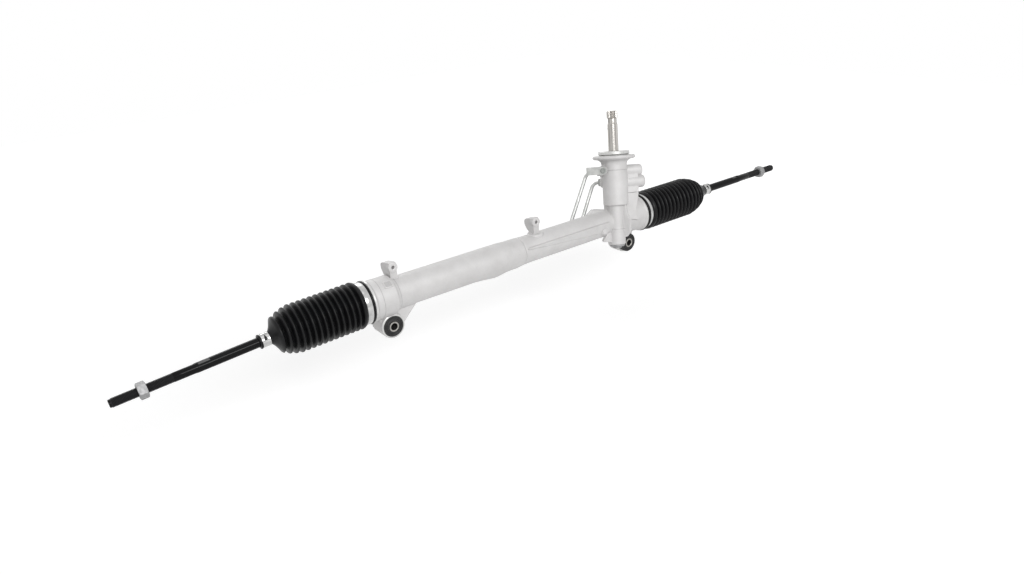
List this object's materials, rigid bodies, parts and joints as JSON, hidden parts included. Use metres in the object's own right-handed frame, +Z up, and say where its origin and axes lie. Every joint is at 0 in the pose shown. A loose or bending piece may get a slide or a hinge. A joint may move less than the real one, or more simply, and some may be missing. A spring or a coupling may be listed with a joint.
{
  "type": "steering_rack",
  "caption": "Hydraulic power steering rack with valve tower, inner tie rods, convoluted boots, feed pipes and rubber bushed mounting eyes",
  "frame": {"origin": "centre of the bolt hole in the left mounting sleeve, the one farther from the valve tower", "axes": "+X runs along the rack axis towards the valve tower end, +Y runs along the mounting bolts away from the tower side that is seen in front, +Z is up"},
  "size_m": [1.2401, 0.0898, 0.2413],
  "materials": {
    "cast_aluminium": "shot blasted casting, fine matt grain",
    "machined_steel": "turned and ground steel",
    "zinc_steel": "bright zinc plated",
    "black_steel": "black phosphate with a thin oil sheen",
    "hardened_steel": "hardened, dark oiled",
    "boot_rubber": "satin moulded rubber",
    "bush_rubber": "matt rubber, faintly dusty",
    "guide_bronze": "sintered bronze",
    "seal_resin": "moulded bearing resin",
    "plated_pipe": "grey green plated steel tube"
  },
  "bodies": {
    "housing": {"end_housing": "cast_aluminium", "pinion_housing": "cast_aluminium", "left_bush": "bush_rubber", "right_bush": "bush_rubber", "left_sleeve": "zinc_steel", "right_sleeve": "zinc_steel", "outer_rack_bush": "guide_bronze", "outer_rack_seal": "boot_rubber", "inner_rack_seal": "boot_rubber", "inner_rack_bush": "guide_bronze", "right_stop_ring": "guide_bronze", "rack_yoke": "cast_aluminium", "yoke_spring": "hardened_steel", "yoke_plug": "machined_steel", "yoke_lock_nut": "zinc_steel", "lower_bearing": "machined_steel", "lower_plug": "zinc_steel", "pinion_bush": "guide_bronze", "upper_bearing": "machined_steel", "shaft_seal": "boot_rubber", "top_cap": "cast_aluminium", "left_boot": "boot_rubber", "right_boot": "boot_rubber", "left_big_clamp": "zinc_steel", "right_big_clamp": "zinc_steel", "long_feed_pipe": "plated_pipe", "short_feed_pipe": "plated_pipe", "pipe_nuts": "zinc_steel", "pipe_bracket": "plated_pipe", "bracket_bolt": "zinc_steel"},
    "rack": {"rack_bar": "machined_steel", "piston": "hardened_steel", "piston_ring": "seal_resin", "left_joint_socket": "hardened_steel", "right_joint_socket": "hardened_steel", "left_ball_seat": "seal_resin", "right_ball_seat": "seal_resin"},
    "pinion_group": {"pinion": "machined_steel", "lower_nut": "zinc_steel", "valve_sleeve": "machined_steel", "valve_rings": "seal_resin"},
    "input_group": {"input_shaft": "machined_steel", "torsion_bar": "hardened_steel", "torsion_pin": "hardened_steel"},
    "left_rod": {"left_tie_rod": "black_steel", "left_lock_nut": "zinc_steel", "left_small_clamp": "zinc_steel"},
    "right_rod": {"right_tie_rod": "black_steel", "right_lock_nut": "zinc_steel", "right_small_clamp": "zinc_steel"}
  },
  "joints": [
    {"name": "rack_slide", "type": "slide", "parent": "housing", "child": "rack", "axis": [1, 0, 0], "range_m": [-0.091, 0.055], "deforming": ["left_boot", "right_boot"]},
    {"name": "pinion_spin", "type": "hinge", "parent": "housing", "child": "pinion_group", "pos_m": [0.4345, -0.01472, 0.04436], "axis": [0.1392, 0.189, 0.9721], "range_deg": [-413.6, 682.4]},
    {"name": "input_twist", "type": "hinge", "parent": "pinion_group", "child": "input_group", "pos_m": [0.4345, -0.01472, 0.04436], "axis": [0.1392, 0.189, 0.9721], "range_deg": [-4, 4], "stiffness_Nm_per_rad": 60},
    {"name": "left_rod_swing", "type": "hinge", "parent": "rack", "child": "left_rod", "pos_m": [-0.11, 0, 0.0415], "axis": [0, 1, 0], "range_deg": [-15.6, 24.4], "deforming": ["left_boot"]},
    {"name": "right_rod_swing", "type": "hinge", "parent": "rack", "child": "right_rod", "pos_m": [0.6125, 0, 0.0415], "axis": [0, 1, 0], "range_deg": [-20, 20], "deforming": ["right_boot"]}
  ],
  "couplings": [
    {"joint": "pinion_spin", "follows": "rack_slide", "rad_per_m": -130.3}
  ]
}
